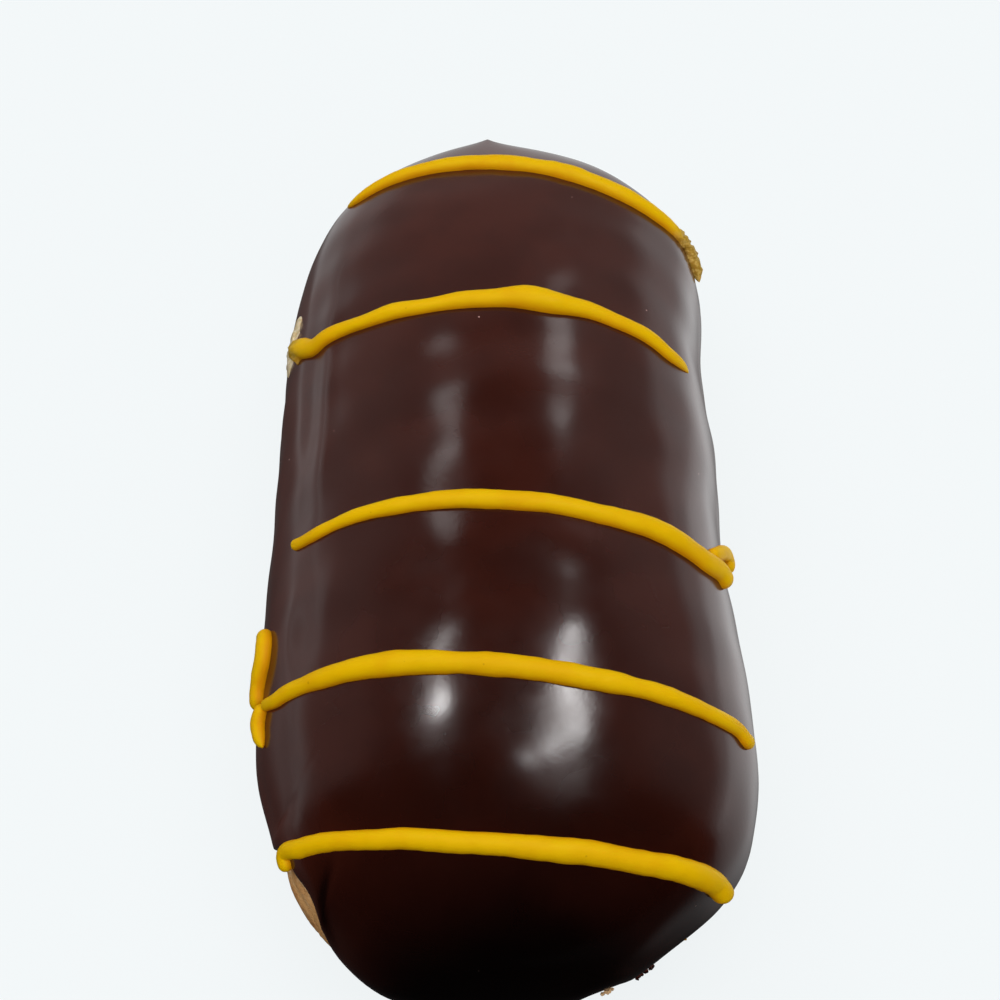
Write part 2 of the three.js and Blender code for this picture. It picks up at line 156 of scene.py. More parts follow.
# ------------------------ piped lines, in mm
# Each line crosses the top at "crest" and follows along = crest + slant x + bow x^2 + twist x^3, where x is
# the distance across.  It runs between two angles, with tails of [angle, along, lift] beyond them.
# "widths" are spaced evenly from the left end to the right.  "tips" are the lengths over which the ends
# taper, and "points" how sharply: 0.5 is round.  "crumbly" gives the shares of the length at which a line
# is still sound and is all crumbs; where they are the same, all of it is.
LINES = (
    {
        "name": "piped_line_far",
        "crest": 48.95, "slant": -0.113, "bow": -0.007, "twist": 0.00009, "reach": (-53, 66),
        "left": ((-57, 47.9, 0.25), (-61, 48.5, 0.2)),
        "right": ((73, 42.8, 0.45), (78, 40.8, 0.55), (80.5, 39.3, 0.65), (81.6, 38.7, 0.7)),
        "widths": (1.9, 2.3, 2.5, 2.7, 2.85, 2.95, 3.15, 2.8, 2.45, 2.2, 2.0),
        "tips": (8.0, 2.8), "points": (0.7, 0.8), "crumbly": (0.83, 0.9),
    },
    {
        "name": "piped_line_second",
        "crest": 20.4, "slant": 0.0, "bow": -0.0032, "twist": -0.00012, "reach": (-56, 50),
        "left": ((-62, 21.5, 0.25), (-67, 21.9, 0.1)),
        "right": ((54, 17.6, 0.3), (61.3, 17.3, 0.15)),
        "widths": (4.0, 2.1, 2.1, 2.1, 2.35, 2.6, 3.9, 2.4, 2.05, 2.1, 2.0),
        "tips": (1.0, 5.0), "points": (0.5, 0.8), "crumbly": (0.06, 0.0),
    },
    {
        "name": "piped_line_middle",
        "crest": -10.3, "slant": -0.045, "bow": -0.0015, "twist": 0.00001, "reach": (-54, 58),
        "left": ((-59.5, -9.9, 0.3),),
        "right": ((65, -12.1, 0.5), (71, -12.8, 0.5)),
        "widths": (1.45, 1.6, 1.9, 2.2, 2.35, 2.5, 2.3, 2.75, 2.9, 2.7, 2.5),
        "tips": (0.8, 1.2), "points": (0.45, 0.5),
    },
    {
        "name": "piped_line_fourth",
        "crest": -31.3, "slant": -0.095, "bow": -0.0004, "twist": 0.00003, "reach": (-58, 65),
        "left": ((-63, -29.9, 0.5), (-68, -29.6, 0.6), (-71.3, -29.4, 0.6)),
        "right": ((69, -34.1, 0.35), (73.2, -33.8, 0.3)),
        "widths": (1.3, 2.1, 2.5, 3.1, 2.75, 2.7, 2.7, 2.45, 2.2, 1.9, 1.7),
        "tips": (1.2, 1.2), "points": (0.55, 0.5),
    },
    {
        "name": "piped_line_near",
        "crest": -50.35, "slant": -0.081, "bow": 0.0021, "twist": 0.00002, "reach": (-58, 69),
        "left": ((-62.2, -47.7, 0.45), (-67.8, -47.3, 0.5), (-71.6, -47.6, 0.5), (-73, -49.0, 0.35)),
        "right": ((73, -51.0, 0.6), (77, -51.2, 1.0), (80, -51.5, 1.4)),
        "widths": (1.9, 2.2, 2.1, 2.35, 2.5, 2.6, 2.75, 2.75, 2.95, 3.0, 2.5),
        "tips": (0.9, 1.0), "points": (0.45, 0.5),
    },
)

# Short pieces beside the lines, in the same terms.
SHORT_PIECES = (
    {
        "name": "piped_strand",
        "places": (
            (-74.5, -19.0, 0.6), (-72, -21.2, 0.65), (-73, -22.9, 0.65),
            (-76, -24.3, 0.65), (-79, -26.0, 0.6), (-79.5, -28.4, 0.55),
        ),
        "widths": (1.9, 2.7, 2.6, 2.5, 2.4, 2.0), "tips": (0.8, 1.2), "points": (0.45, 0.6),
    },
    {
        "name": "piped_fold",
        "places": (
            (-71.5, -29.0, 0.5), (-74.5, -29.8, 0.6), (-76, -31.0, 0.6),
            (-75.4, -32.6, 0.55), (-73.8, -34.2, 0.4),
        ),
        "widths": (1.5, 2.3, 2.4, 2.1, 1.4), "tips": (0.8, 1.8), "points": (0.5, 0.7),
    },
    {
        "name": "piped_smear",
        "places": (
            (-72.5, 30.2, 0.1), (-73.5, 28, 0.1), (-74.5, 25.5, 0.1),
            (-75.5, 23, 0.1), (-76.5, 20.5, 0.05),
        ),
        "widths": (2.2, 3.6, 4.2, 3.6, 2.2), "tips": (1.6, 2.2), "points": (0.6, 0.7),
        "crumbly": (0.0, 0.0), "flat": 0.3, "creamy": 1.0,
    },
    {
        "name": "piped_curl",
        "places": (
            (61, -10.8, 0.4), (65, -9.8, 0.8), (69, -8.8, 0.95),
            (73.5, -8.0, 1.05), (76.5, -8.5, 1.1), (74.5, -9.8, 1.0),
        ),
        "widths": (1.7, 1.9, 2.0, 1.8), "tips": (0.7, 0.8), "points": (0.5, 0.5),
    },
)
CROSSING_LIFT = 0.3  # lift of a line's crossing, which lies at the height that the settings give
BEAD_SEED = 100  # of the first line
BEAD_WAVES = {  # what is added to the seed, and the waves' count, shortest and longest
    "width": (0, 8, 3.0, 11.0),
    "stray": (50, 6, 6.0, 22.0),
    "fine": (90, 14, 1.0, 4.0),
    "crumbs": (130, 20, 0.5, 1.6),
}
WIDTH_UNEVENNESS = 0.035
FINE_UNEVENNESS = 0.015
CRUMB_ROUGHNESS = 0.14
BEAD_GIRTH = 1.3  # distance from a bead's middle at which its roughness is read

# Crumbs and chips caught at the foot of the icing: turn, height, count, reach round and up, size and seed.
CRUST_CRUMBS = (284.0, 17.0, 12, 1.1, 0.5, 0.5, 21)
ICING_CHIPS = (291.6, 14.2, 14, 2.0, 0.4, 0.5, 31)
YELLOW_CRUMB = (299.3, 16.2, 3, 0.3, 0.2, 0.42, 41)
CRUMB_DISTANCE = 60  # of the crumbs from the eclair's middle
CRUMB_OFFSET = 0.12  # of a crumb's middle from the icing's face
CRUMB_SIZES = (0.45, 1.0)  # shares of the size
CRUMB_STRETCH = (0.7, 1.3)
CRUMB_SPAN = 50  # of the noise field from which the crumbs take their knobs
CRUMB_KNOBS = (0.5, 1.1)  # height and fineness of a crumb's knobs, for its radius
CRUMB_TONE = 0.5  # how crumbly a crumb is, and how near the icing it counts

# ------------------------ crust, in mm
SPLITS = (  # height, from and to along it, side and share of the depth
    (9.5, -38, 12, -1, 0.9),
    (8.0, -8, 44, 1, 1.0),
)
SPLIT_WIDTH = 1.1
SPLIT_ENDS = 8.0
SPLIT_WANDER = (1.1, 0.11)  # height and turn for each mm
SPLIT_RAGGED = 0.35  # by which the swells move a split's edge
SWELL_SIZE = (9, 12, 7)  # of the flank's swells across, along and up
SWELL_NOISE = (0.8, 2.0, 3)  # dimension, lacunarity and octaves
WRINKLE_SIZE = (5, 7, 2.2)
WRINKLE_NOISE = (0.9, 2.1, 4, 1.0, 1.9)  # the same, then offset and gain
WRINKLE_LEVEL = 1.2  # the wrinkles' middle
BARE_BULGE = (-98, -54.2, 1.6, 5.6)  # angle, along, rise and spread of the bare corner's fullness
CONTACT_RISE = 0.5  # by which the icing's visible edge lies over its rim, for each mm of the bulge
RELIEF_FADE = 2.0  # below the rim and above the base, over which the relief begins
RELIEF_AT_RIM = 0.6  # share of the relief at the rim
PALE_REACH = 0.28  # below the icing, over which the crust is pale
TUCK = 0.06  # radians by which the flank's fine rings begin over the rim
BASE_CLEARANCE = 0.02  # by which the lowest rings keep off the base

# ------------------------ fineness of the meshes
COLUMNS = 400
EVENNESS = 0.186  # by which the columns keep even spaces round the long form
GLAZE_RINGS = 170
LIP_STEPS = (0.04, 0.12, 0.25, 0.42, 0.62, 0.85, 1.1, 1.4, 1.75, 2.2, 2.8, 3.5, 4.4, 5.5)
HIDDEN_RINGS = 12
FLANK_RINGS = 70
BASE_RINGS = 10
BEAD_SIDES = 26
BEAD_STEP = 0.35
TIP_RINGS = 7
ROUTE_SAMPLES = 40  # of a bead's route, between two places
CROSSING_PLACES = 9
CROSSING_ROUNDS = 6  # after which a place of the crossing no longer moves
WIDTH_EASING = 9  # rings over which a change of width is eased, three times over
HALVINGS = 40  # of the range in which a tilt is looked for
SLOPE_STEP = 1e-3  # of a direction
TILT_STEP = 0.01  # radians
TANGENT_STEP = 0.2  # mm along a bead
OFF_AXIS = 0.9  # share of a direction along the eclair, below which its slopes are taken from that axis
LAST_STATION = 0.999  # greatest station of a place


def linear(red, green, blue):
    """Scene-linear colour of an sRGB one given from 0 to 255."""
    shares = [value / 255 for value in (red, green, blue)]
    return tuple(v / 12.92 if v <= 0.04045 else ((v + 0.055) / 1.055) ** 2.4 for v in shares)


# ======================== settings
LENGTH = {"precision": 5, "unit": "LENGTH"}
COLOUR = {"min": 0.0, "max": 1.0, "subtype": "COLOR"}
FACTOR = {"min": 0.0, "max": 1.0, "subtype": "FACTOR"}


class EclairCrustSettings(PropertyGroup):
    """Sizes and colours of the baked crust."""

    swell_height: FloatProperty(
        name="Swell height", description="Height of the uneven rise of the bare flank",
        default=0.35 * MM, min=0.0, max=2 * MM, **LENGTH,
    )
    wrinkle_depth: FloatProperty(
        name="Wrinkle depth", description="Depth of the fine wrinkles of the crust",
        default=0.22 * MM, min=0.0, max=1 * MM, **LENGTH,
    )
    split_depth: FloatProperty(
        name="Split depth", description="Depth of the long splits that baking opened in the flank",
        default=0.9 * MM, min=0.0, max=2 * MM, **LENGTH,
    )
    pale: FloatVectorProperty(
        name="Pale crumb", description="Colour inside the splits and next to the icing",
        default=linear(238, 212, 170), **COLOUR,
    )
    baked: FloatVectorProperty(
        name="Baked crust", description="Main colour of the crust",
        default=linear(220, 168, 108), **COLOUR,
    )
    browned: FloatVectorProperty(
        name="Browned crust", description="Colour of the ridges that browned most",
        default=linear(170, 106, 54), **COLOUR,
    )


class EclairChocolateSettings(PropertyGroup):
    """Sizes and colours of the chocolate icing."""

    thickness: FloatProperty(
        name="Thickness", description="Thickness of the icing over the crust",
        default=1.6 * MM, min=0.5 * MM, max=3 * MM, **LENGTH,
    )
    lip_length: FloatProperty(
        name="Lip length", description="Length over which the icing's rim rounds off",
        default=1.9 * MM, min=0.5 * MM, max=4 * MM, **LENGTH,
    )
    wave_height: FloatProperty(
        name="Wave height", description="Height of the gentle waves in the set icing",
        default=0.05 * MM, min=0.0, max=0.5 * MM, **LENGTH,
    )
    dark: FloatVectorProperty(
        name="Dark chocolate", description="Main colour of the icing",
        default=(0.032, 0.0054, 0.0027), **COLOUR,
    )
    light: FloatVectorProperty(
        name="Lighter chocolate", description="Colour of the icing's lighter clouds",
        default=(0.040, 0.0072, 0.0037), **COLOUR,
    )
    roughness: FloatProperty(
        name="Roughness", description="Roughness of the icing's gloss, in the middle of its range",
        default=0.18, **FACTOR,
    )
    seed: IntProperty(
        name="Seed", description="Chooses where the waves lie", default=7, min=0,
    )


class EclairPipingSettings(PropertyGroup):
    """Sizes and colours of the piped lines."""

    width_scale: FloatProperty(
        name="Width scale", description="Scales the widths of all the lines",
        default=1.0, min=0.5, max=1.5, subtype="FACTOR",
    )
    flatness: FloatProperty(
        name="Flatness", description="Height of a line as a share of its width",
        default=0.92, min=0.3, max=1.0, subtype="FACTOR",
    )
    lift: FloatProperty(
        name="Lift", description="Height of a line's middle over the icing",
        default=0.12 * MM, min=0.0, max=1 * MM, **LENGTH,
    )
    wobble: FloatProperty(
        name="Wobble", description="How far a line strays sideways from its smooth course",
        default=0.09 * MM, min=0.0, max=1 * MM, **LENGTH,
    )
    golden: FloatVectorProperty(
        name="Golden icing", description="Main colour of the lines",
        default=linear(229, 181, 2), **COLOUR,
    )
    # Ochre is the lines' own deeper tone in stretches, and also painted shade on each line's lower side.
    ochre_and_underside_shade: FloatVectorProperty(
        name="Ochre icing", description="Colour of the lines' deeper stretches",
        default=linear(218, 146, 4), **COLOUR,
    )


class EclairStageSettings(PropertyGroup):
    """The floor, the light and the camera."""

    floor_half: FloatProperty(
        name="Floor reach", description="Distance from the eclair to the floor's edge",
        default=4.0, min=0.2, unit="LENGTH",
    )
    floor_colour: FloatVectorProperty(
        name="Floor colour", description="Colour of the plain floor",
        default=(0.86, 0.895, 0.905), **COLOUR,
    )
    floor_glow: FloatProperty(
        name="Floor glow", description="How far the floor is bright of itself, which keeps shadows faint",
        default=0.945, **FACTOR,
    )
    floor_shade: FloatProperty(
        name="Floor shade", description="How far the floor shows shadows",
        default=0.1, **FACTOR,
    )
    icing_strength: FloatProperty(
        name="Icing light", description="Strength of either soft light from the far side on the dark icing",
        default=4.2, min=0.0,
    )
    key_strength: FloatProperty(
        name="Key light", description="Strength of the soft light from above",
        default=2.0, min=0.0,
    )
    fill_strength: FloatProperty(
        name="Fill light", description="Strength of the soft light from the viewer's side",
        default=1.5, min=0.0,
    )
    elevation: FloatProperty(
        name="Camera elevation", description="Angle at which the camera looks down",
        default=math.radians(55.83), min=0.0, max=math.radians(90), subtype="ANGLE", unit="ROTATION",
    )
    lens: FloatProperty(
        name="Focal length", description="Focal length on a sensor 36 mm wide",
        default=72.0, min=10.0, unit="CAMERA",
    )


# ======================== the form
def unit(vectors):
    """The vectors at length 1."""
    return vectors / np.linalg.norm(vectors, axis=-1, keepdims=True)


def smooth(share):
    """Eases from 0 to 1."""
    held = np.clip(share, 0, 1)
    return held * held * (3 - 2 * held)


def polar(tilt, turn):
    """Unit directions from the form's centre, tilted from +Z and turned from +X."""
    ring = np.sin(tilt)
    return np.stack(np.broadcast_arrays(ring * np.cos(turn), ring * np.sin(turn), np.cos(tilt)), -1)


def direction_at(angle, along):
    """Directions of places at an angle round the long axis and a distance along it."""
    station = np.clip(np.asarray(along, float) / HALF_LENGTH, -LAST_STATION, LAST_STATION)
    sine = np.sin(np.radians(angle))
    cosine = np.cos(np.radians(angle))
    belt = (1 - np.abs(station) ** END_POWER) ** (1 / END_POWER)
    section = np.abs(sine) ** SECTION_POWER + np.abs(cosine) ** SECTION_POWER
    radius = belt / section ** (1 / SECTION_POWER)
    return unit(np.stack(np.broadcast_arrays(radius * sine, station, radius * cosine), -1))


def reach_of(direction):
    """Distance from the centre to the unit form's surface in each direction."""
    section = np.abs(direction[..., 0]) ** SECTION_POWER + np.abs(direction[..., 2]) ** SECTION_POWER
    end = np.abs(direction[..., 1]) ** END_POWER
    return (section ** (END_POWER / SECTION_POWER) + end) ** (-1 / END_POWER)


def form_point(direction):
    """Points of the smooth outer form in each direction."""
    across, station, height = np.moveaxis(direction * reach_of(direction)[..., None], -1, 0)
    width = HALF_WIDTH * (1 + TAPER * station + SHOULDER * station**2)
    wander = sum(share * station**power for power, share in enumerate(DRIFT))
    rise = np.where(height > 0, CROWN * (1 + CROWN_LIFT * station**2), BELLY)
    return np.stack([across * width + wander, station * HALF_LENGTH, WAIST + height * rise], -1)


def surface_normal(direction, surface):
    """Outward normals of a surface that is given by direction."""
    off_axis = np.abs(direction[..., 1:2]) < OFF_AXIS
    helper = np.where(off_axis, np.array([0.0, 1.0, 0.0]), np.array([1.0, 0.0, 0.0]))
    first = unit(np.cross(direction, helper))
    second = np.cross(direction, first)
    slopes = [
        surface(unit(direction + tangent * SLOPE_STEP)) - surface(unit(direction - tangent * SLOPE_STEP))
        for tangent in (first, second)
    ]
    normal = unit(np.cross(*slopes))
    facing = np.sign(np.sum(normal * direction, -1, keepdims=True))
    return normal * facing


SWELL_CENTRES = [form_point(direction_at(angle, along)) for angle, along, _, _ in SWELLS]


def swell_at(points):
    """Rise of the uneven form over the smooth one at each point."""
    total = np.zeros(points.shape[:-1])
    for centre, (_, _, rise, spread) in zip(SWELL_CENTRES, SWELLS):
        distance = np.linalg.norm(points - centre, axis=-1)
        total += rise * np.exp(-0.5 * (distance / spread) ** 2)
    return total


def skin(direction, offset):
    """Points of the uneven form, moved out by an offset."""
    points = form_point(direction)
    out = swell_at(points) + offset
    return points + surface_normal(direction, form_point) * out[..., None]


def random_waves(points, seed, count, shortest, longest):
    """A smooth random field round 0, about 1 high: waves that run in random directions."""
    draw = np.random.default_rng(seed)
    field = np.zeros(points.shape[:-1])
    for heading in unit(draw.normal(size=(count, 3))):
        turn = 2 * math.pi / draw.uniform(shortest, longest)
        field += np.sin(points @ heading * turn + draw.uniform(0, 2 * math.pi))
    return field * math.sqrt(2 / count)


def glaze_offset(direction, chocolate):
    """Unevenness of the set icing over the form: waves, ripples and dimples."""
    points = form_point(direction)
    rise = chocolate.wave_height / MM * random_waves(points, chocolate.seed, *GLAZE_WAVES)
    angle = np.degrees(np.arctan2(direction[..., 0], direction[..., 2]))
    along = points[..., 1]
    for centre, at, height, spread_round, spread_along in RIPPLES:
        away = ((angle - centre) / spread_round) ** 2 + ((along - at) / spread_along) ** 2
        rise += height * np.exp(-0.5 * away)
    from_peak = np.linalg.norm(points - form_point(direction_at(*PEAK)), axis=-1)
    return rise + PEAK_HEIGHT * np.exp(-from_peak / PEAK_SPREAD)


def rim_height(turn):
    """Height of the icing's rim, by the turn round the eclair."""
    height = np.full(np.shape(turn), RIM_HEIGHT)
    for count, swing, phase in RIM_WAVES + RIM_RIPPLES:
        height += swing * np.sin(count * turn + phase)
    for spot, reach, rise in BARE_SPOTS:
        height += rise * np.exp(-(((np.degrees(turn) - spot) / reach) ** 4))
    return height


def tilt_at_height(turn, height, upper, lower, inset):
    """Tilts between two others at which the form, less the inset, reaches a height."""
    above = np.broadcast_to(upper, turn.shape)
    below = np.broadcast_to(lower, turn.shape)
    for _ in range(HALVINGS):
        middle = (above + below) / 2
        high = skin(polar(middle, turn), -inset)[..., 2] > height
        above = np.where(high, middle, above)
        below = np.where(high, below, middle)
    return (above + below) / 2


def columns():
    """Turns of the columns, evenly spaced round the long form, from 0 to a full turn."""
    even = np.linspace(0, 2 * math.pi, COLUMNS, endpoint=False)
    return even - EVENNESS * np.sin(2 * even)


# ======================== meshes
def ring_faces(rings, sides):
    """Faces of a closed surface through rings, with a pole at either end."""
    last = rings * sides + 1
    faces = []
    for side in range(sides):
        beside = (side + 1) % sides
        faces.append((0, 1 + side, 1 + beside))
        for ring in range(rings - 1):
            start = 1 + ring * sides
            faces.append((start + side, start + sides + side, start + sides + beside, start + beside))
        start = 1 + (rings - 1) * sides
        faces.append((last, start + beside, start + side))
    return faces


def add_object(name, data):
    """An object with its data, in the scene."""
    made = bpy.data.objects.new(name, data)
    bpy.context.scene.collection.objects.link(made)
    return made


def closed_mesh(name, first, rings, last):
    """A smooth piece through rings of points in mm, with its place in the row frame."""
    count, sides = rings.shape[:2]
    points = np.concatenate([np.reshape(first, (1, 3)), rings.reshape(-1, 3), np.reshape(last, (1, 3))])
    mesh = bpy.data.meshes.new(name)
    mesh.from_pydata(((points - BOX_MIDDLE) * MM).tolist(), [], ring_faces(count, sides))
    mesh.validate()
    mesh.shade_smooth()
    outward(mesh)
    return add_object(name, mesh)


def outward(mesh):
    """Turns the faces of a closed mesh out, if its signed volume says that they face in."""
    mesh.calc_loop_triangles()
    corners = np.empty(len(mesh.loop_triangles) * 3, np.int32)
    mesh.loop_triangles.foreach_get("vertices", corners)
    places = np.empty(len(mesh.vertices) * 3)
    mesh.vertices.foreach_get("co", places)
    a, b, c = np.moveaxis(places.reshape(-1, 3)[corners.reshape(-1, 3)], 1, 0)
    if np.sum(a * np.cross(b, c)) < 0:
        mesh.flip_normals()


def store(piece, name, values):
    """Keeps one value for each of a mesh's points as an attribute that its material reads."""
    attribute = piece.data.attributes.new(name, "FLOAT", "POINT")
    attribute.data.foreach_set("value", np.asarray(values, np.float32).ravel())


def place(piece, node, material):
    """Lets a piece ride on the body, stand for its solid and wear its material."""
    piece.data.materials.append(material)
    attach(piece, "root")
    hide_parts(node)


# ======================== crust
def crust_relief(points, crust):
    """Relief of the baked flank in mm, and how far a split opens at each point."""
    flat = points.reshape(-1, 3)
    swells = np.empty(len(flat))
    wrinkles = np.empty(len(flat))
    for index, point in enumerate(flat):
        swells[index] = noise.fractal(Vector(point / SWELL_SIZE), *SWELL_NOISE)
        wrinkles[index] = noise.ridged_multi_fractal(Vector(point / WRINKLE_SIZE), *WRINKLE_NOISE)
    relief = crust.swell_height / MM * swells
    relief += crust.wrinkle_depth / MM * (wrinkles - WRINKLE_LEVEL)
    opened = np.zeros(len(flat))
    x, y, z = flat.T
    for height, start, stop, side, share in SPLITS:
        begun = smooth((y - start) / SPLIT_ENDS)
        left = smooth((stop - y) / SPLIT_ENDS)
        level = height + SPLIT_WANDER[0] * np.sin(SPLIT_WANDER[1] * y)
        ragged = level + SPLIT_RAGGED * swells
        gap = np.exp(-(((z - ragged) / SPLIT_WIDTH) ** 2)) * begun * left * (np.sign(x) == side)
        opened = np.maximum(opened, share * gap)
    relief -= crust.split_depth / MM * opened
    return relief.reshape(points.shape[:-1]), opened.reshape(points.shape[:-1])


def bare_bulge(direction):
    """Fullness of the crust at the bare corner, where it comes out almost to the icing's face."""
    angle, along, rise, spread = BARE_BULGE
    away = np.linalg.norm(form_point(direction) - form_point(direction_at(angle, along)), axis=-1)
    return rise * np.exp(-0.5 * (away / spread) ** 2)


def hidden_shares():
    """Shares of the way from the top to the rim at which hidden faces have rings."""
    return np.linspace(0, 1, HIDDEN_RINGS + 1)[1:]


def crust_piece(crust, chocolate):
    """The choux pastry: hidden crown, bare flank with its relief, and flat base."""
    inset = chocolate.thickness / MM
    turns = columns()
    rims = tilt_at_height(turns, rim_height(turns), *RIM_TILTS, inset)
    bases = tilt_at_height(turns, 0.0, rims, math.pi, inset)
    tucked = rims - TUCK
    crown = [skin(polar(tucked * share, turns), -inset) for share in hidden_shares()]
    flank, relief, opened, below = [], [], [], []
    for share in np.linspace(0, 1, FLANK_RINGS + 1)[1:]:
        direction = polar(tucked + (bases - tucked) * share, turns)
        bulge = bare_bulge(direction)
        points = skin(direction, bulge - inset)
        under = rim_height(turns) - points[..., 2]
        fade = RELIEF_AT_RIM + (1 - RELIEF_AT_RIM) * smooth(under / RELIEF_FADE)
        fade = fade * smooth(points[..., 2] / RELIEF_FADE)
        height, gap = crust_relief(points, crust)
        points = points + surface_normal(direction, form_point) * (fade * height)[..., None]
        points[..., 2] = np.maximum(points[..., 2], BASE_CLEARANCE * (1 - share))
        flank.append(points)
        relief.append(height * fade)
        opened.append(gap * fade)
        below.append(under + CONTACT_RISE * bulge)
    edge = flank[-1]
    edge[..., 2] = 0.0
    middle = edge.mean(0)
    base = [middle + (edge - middle) * share for share in np.linspace(1, 0, BASE_RINGS + 1)[1:-1]]
    rings = np.array(crown + flank + base)
    piece = closed_mesh("choux_crust", skin(polar(0.0, 0.0), -inset), rings, middle)
    before = np.zeros(1 + len(crown) * COLUMNS)
    after = np.zeros(len(base) * COLUMNS + 1)
    pale = np.exp(-((np.array(below) / PALE_REACH) ** 2))
    for name, values in (("relief", relief), ("opened", opened), ("near_icing", pale)):
        store(piece, name, np.concatenate([before, np.ravel(values), after]))
    return piece


# ======================== icing
def icing_shell(chocolate):
    """The dipped icing: outer face with its waves, rounded lip and an inner face inside the crust."""
    thickness = chocolate.thickness / MM
    lip = chocolate.lip_length / MM
    inner = -thickness - EMBED
    turns = columns()
    rims = tilt_at_height(turns, rim_height(turns), *RIM_TILTS, thickness)
    crown_tilt = rims.mean()
    rise = skin(polar(rims, turns), -thickness) - skin(polar(rims - TILT_STEP, turns), -thickness)
    slopes = np.linalg.norm(rise, axis=-1) / TILT_STEP  # mm of the surface for each radian of tilt

    def outer(tilts):
        direction = polar(tilts, turns)
        up = (rims - tilts) * slopes
        rounding = np.sqrt(1 - (1 - np.clip(up / lip, 0, 1)) ** 2)
        gather = 1 + LIP_SWELL * np.exp(-0.5 * ((up - LIP_SWELL_AT) / LIP_SWELL_SPREAD) ** 2)
        depth = (thickness * gather + EMBED) * rounding
        waves = glaze_offset(direction, chocolate) * smooth(up / WAVES_BEGIN)
        return skin(direction, inner + depth + waves)

    lips = rims - LIP_STEPS[-1] / slopes
    shares = np.linspace(0, 1, GLAZE_RINGS + 1)[1:]
    rings = [outer(share * crown_tilt + share**2 * (lips - crown_tilt)) for share in shares]
    rings += [outer(rims - up / slopes) for up in reversed(LIP_STEPS[:-1])]
    rings += [skin(polar(rims * share, turns), inner) for share in reversed(hidden_shares())]
    top = skin(polar(0.0, 0.0), glaze_offset(polar(0.0, 0.0), chocolate))
    return closed_mesh("chocolate_glaze", top, np.array(rings), skin(polar(0.0, 0.0), inner))


# ======================== beads
def line_places(line):
    """Places of a line: its left tail, its crossing and its right tail."""
    crossing = []
    for angle in np.linspace(*line["reach"], CROSSING_PLACES):
        along = line["crest"]
        for _ in range(CROSSING_ROUNDS):
            x = form_point(direction_at(angle, along))[0]
            along = line["crest"] + line["slant"] * x + line["bow"] * x**2 + line["twist"] * x**3
        crossing.append((angle, along, CROSSING_LIFT))
    return [*reversed(line["left"]), *crossing, *line["right"]]


def eased_route(places, samples):
    """A centripetal Catmull-Rom curve through places, with samples for each stretch."""
    points = np.array(places, float)
    points = np.concatenate([[2 * points[0] - points[1]], points, [2 * points[-1] - points[-2]]])
    route = []
    for index in range(1, len(points) - 2):
        a, b, c, d = points[index - 1:index + 3]
        before, between, after = (math.sqrt(np.linalg.norm(q - p)) for p, q in ((a, b), (b, c), (c, d)))
        leaving = ((b - a) / before - (c - a) / (before + between) + (c - b) / between) * between
        arriving = ((c - b) / between - (d - b) / (between + after) + (d - c) / after) * between
        for share in np.arange(samples) / samples:
            square = share * share
            cube = square * share
            route.append(
                (2 * cube - 3 * square + 1) * b + (cube - 2 * square + share) * leaving
                + (3 * square - 2 * cube) * c + (cube - square) * arriving
            )
    route.append(points[-2])
    return np.array(route)


def bead_stops(length, start, stop):
    """Distances along a bead at which it has rings, closer in the tips at its start and stop."""
    body = length - start - stop
    tip = 1 - np.cos(np.linspace(0, math.pi / 2, TIP_RINGS + 1)[1:-1])
    steps = max(2, round(body / BEAD_STEP))
    evenly = start + body * np.linspace(0, 1, steps + 1)
    return np.concatenate([start * tip, evenly, length - stop * tip[::-1]])


def eased_widths(widths, share):
    """Widths at shares of a bead's length, without corners where the listed ones change."""
    width = np.interp(share, np.linspace(0, 1, len(widths)), widths)
    for _ in range(3):
        padded = np.pad(width, WIDTH_EASING // 2, mode="edge")
        width = np.convolve(padded, np.ones(WIDTH_EASING) / WIDTH_EASING, mode="valid")
    return width


def tip_fullness(distance, tip, point):
    """Share of its width that a bead has at a distance from its end."""
    return (1 - (1 - np.clip(distance / tip, 0, 1)) ** 2) ** point


def crumbled(bead, share):
    """How far a bead has gone to crumbs at each share of its length."""
    if "crumbly" not in bead:
        return np.zeros_like(share)
    sound, crumbs = bead["crumbly"]
    if sound == crumbs:
        return np.ones_like(share)
    return smooth((share - sound) / (crumbs - sound))


def bead_waves(kind, points, seed):
    """Random waves of one kind over a bead."""
    added, *waves = BEAD_WAVES[kind]
    return random_waves(points, seed + added, *waves)


